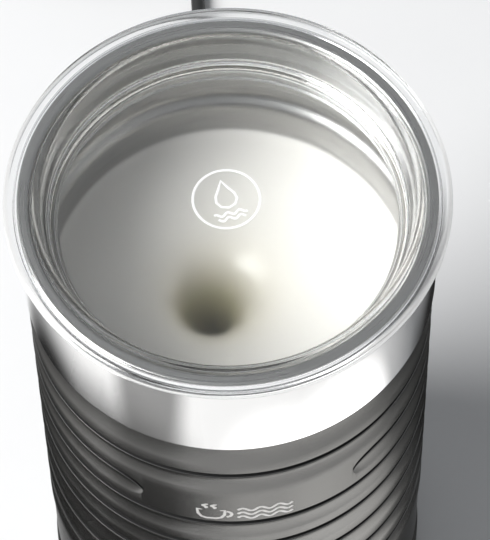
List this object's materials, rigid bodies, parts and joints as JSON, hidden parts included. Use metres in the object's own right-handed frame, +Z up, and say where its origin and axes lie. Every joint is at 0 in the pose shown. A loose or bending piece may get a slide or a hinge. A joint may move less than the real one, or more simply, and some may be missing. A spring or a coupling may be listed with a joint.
{
  "type": "milk frother",
  "caption": "Round milk frother: ribbed jug with polished collar and clear recessed lid, magnetic coil whisk inside, on a round power base with a mains cord.",
  "frame": {"origin": "on the jug's vertical axis, at the surface that the base's feet stand on", "axes": "+Z up along the jug's axis; -Y is the front, with the start button; +Y is the back, where the mains cord leaves the base; +X is to the right seen from the front"},
  "size_m": [0.1528, 0.3015, 0.1871],
  "materials": {
    "graphite_plastic": "satin moulded graphite, fine grain",
    "black_plastic": "satin black moulding",
    "polished_steel": "mirror polished stainless steel",
    "satin_steel": "satin brushed stainless steel",
    "clear_plastic": "clear moulded copolyester, glossy",
    "clear_silicone": "translucent silicone",
    "grey_silicone": "soft silicone",
    "foot_rubber": "soft rubber",
    "cord_black": "soft PVC, matt",
    "brass": "bright turned brass",
    "zinc_steel": "zinc plated steel",
    "aluminium": "cast aluminium",
    "magnet": "nickel plated magnet",
    "white_nylon": "natural nylon",
    "board_green": "solder mask",
    "light_diffuser": "frosted light guide"
  },
  "bodies": {
    "base": {"base_housing": "graphite_plastic", "base_plate": "black_plastic", "base_screw_1": "zinc_steel", "base_screw_2": "zinc_steel", "base_screw_3": "zinc_steel", "rubber_foot_1": "foot_rubber", "rubber_foot_2": "foot_rubber", "rubber_foot_3": "foot_rubber", "socket_hub": "black_plastic", "socket_contact": "brass", "terminal_block": "white_nylon", "base_lead_1": "cord_black", "base_lead_2": "cord_black", "strain_relief": "cord_black", "mains_cord": "cord_black", "cord_coil": "cord_black", "cord_tail": "cord_black", "cord_tie": "foot_rubber", "plug_body": "cord_black", "plug_pin_1": "brass", "plug_pin_2": "brass"},
    "connector": {"jug_connector": "black_plastic", "connector_pin": "brass", "connector_ring": "brass"},
    "jug": {"foot_ring": "graphite_plastic", "jug_bottom_cover": "black_plastic", "cover_screw_1": "zinc_steel", "cover_screw_2": "zinc_steel", "cover_screw_3": "zinc_steel", "sleeve": "graphite_plastic", "collar": "polished_steel", "vessel": "satin_steel", "vessel_gasket": "grey_silicone", "whisk_post": "satin_steel", "heating_ring": "aluminium", "thermostat": "black_plastic", "thermal_fuse": "white_nylon", "motor_can": "zinc_steel", "motor_bush": "brass", "motor_bracket": "zinc_steel", "motor_screw_1": "zinc_steel", "motor_screw_2": "zinc_steel", "control_board": "board_green", "board_relay": "black_plastic", "switch_board": "board_green", "start_switch": "black_plastic", "light_pipe": "light_diffuser", "button_bezel": "polished_steel"},
    "rotor": {"motor_shaft": "zinc_steel", "magnet_carrier": "white_nylon", "drive_magnet_1": "magnet", "drive_magnet_2": "magnet"},
    "whisk": {"whisk_hub": "black_plastic", "whisk_magnet": "magnet", "whisk_spring": "satin_steel"},
    "button": {"start_button": "black_plastic"},
    "lid": {"lid": "clear_plastic", "lid_seal": "clear_silicone"}
  },
  "joints": [
    {"name": "jug_lift", "type": "slide", "parent": "base", "child": "connector", "axis": [0, 0, 1], "range_m": [0, 0.06]},
    {"name": "jug_swivel", "type": "hinge", "parent": "connector", "child": "jug", "pos_m": [0, 0, 0.03], "axis": [0, 0, 1], "continuous": true},
    {"name": "motor_spin", "type": "hinge", "parent": "jug", "child": "rotor", "pos_m": [0, 0, 0.06], "axis": [0, 0, 1], "continuous": true},
    {"name": "whisk_spin", "type": "hinge", "parent": "jug", "child": "whisk", "pos_m": [0, 0, 0.082], "axis": [0, 0, 1], "continuous": true},
    {"name": "button_press", "type": "slide", "parent": "jug", "child": "button", "axis": [0, 1, 0], "range_m": [0, 0.0012], "stiffness_N_per_m": 600},
    {"name": "lid_lift", "type": "slide", "parent": "jug", "child": "lid", "axis": [0, 0, 1], "range_m": [0, 0.06]}
  ],
  "couplings": [
    {"joint": "whisk_spin", "follows": "motor_spin", "ratio": 1}
  ]
}
